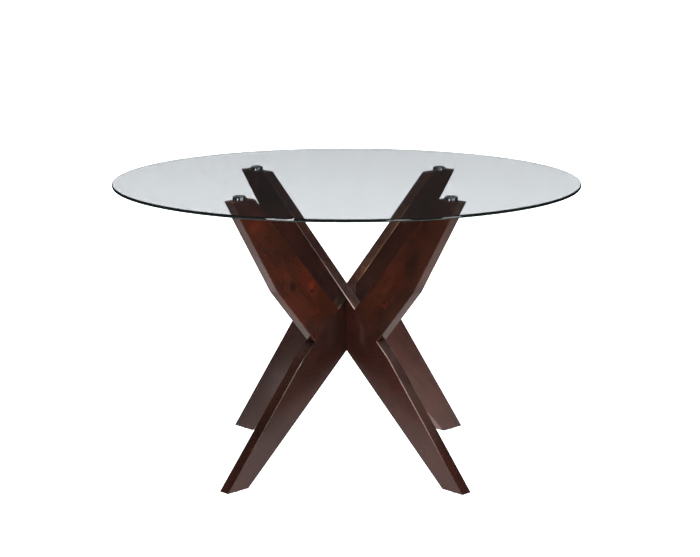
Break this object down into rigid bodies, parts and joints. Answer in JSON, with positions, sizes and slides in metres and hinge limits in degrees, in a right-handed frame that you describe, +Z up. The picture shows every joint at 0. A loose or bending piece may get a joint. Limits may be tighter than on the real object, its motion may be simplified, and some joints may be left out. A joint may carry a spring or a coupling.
{
  "type": "round dining table",
  "caption": "Round dining table with a clear glass top resting on padded discs at the tips of a dark stained wooden base of crossing X frames.",
  "frame": {"origin": "on the floor, under the centre of the glass top", "axes": "+Z up, -Y towards the viewer of the picture, whose side has the short upper arms, +X to that viewer's right"},
  "size_m": [1.2188, 1.219, 0.76],
  "materials": {
    "clear_glass": "polished",
    "dark_stained_wood": "semi-gloss",
    "disc_chrome": "polished",
    "clear_pad": "satin",
    "fastener_steel": "zinc plated",
    "dowel_beech": "raw",
    "glide_nylon": "matte"
  },
  "bodies": {
    "root": {"glass_top": "clear_glass", "long_plank_a": "dark_stained_wood", "long_plank_b": "dark_stained_wood", "upper_arm_front_right": "dark_stained_wood", "upper_arm_front_left": "dark_stained_wood", "lower_leg_back_left": "dark_stained_wood", "lower_leg_back_right": "dark_stained_wood", "joint_dowels": "dowel_beech", "lap_bolt": "fastener_steel", "lap_washer": "fastener_steel", "lap_insert": "fastener_steel", "support_disc_front_left": "disc_chrome", "support_disc_front_right": "disc_chrome", "support_disc_back_left": "disc_chrome", "support_disc_back_right": "disc_chrome", "bumper_pad_front_left": "clear_pad", "bumper_pad_front_right": "clear_pad", "bumper_pad_back_left": "clear_pad", "bumper_pad_back_right": "clear_pad", "disc_screws": "fastener_steel", "foot_glide_front_left": "glide_nylon", "foot_glide_front_right": "glide_nylon", "foot_glide_back_left": "glide_nylon", "foot_glide_back_right": "glide_nylon", "glide_nails": "fastener_steel"}
  },
  "joints": []
}
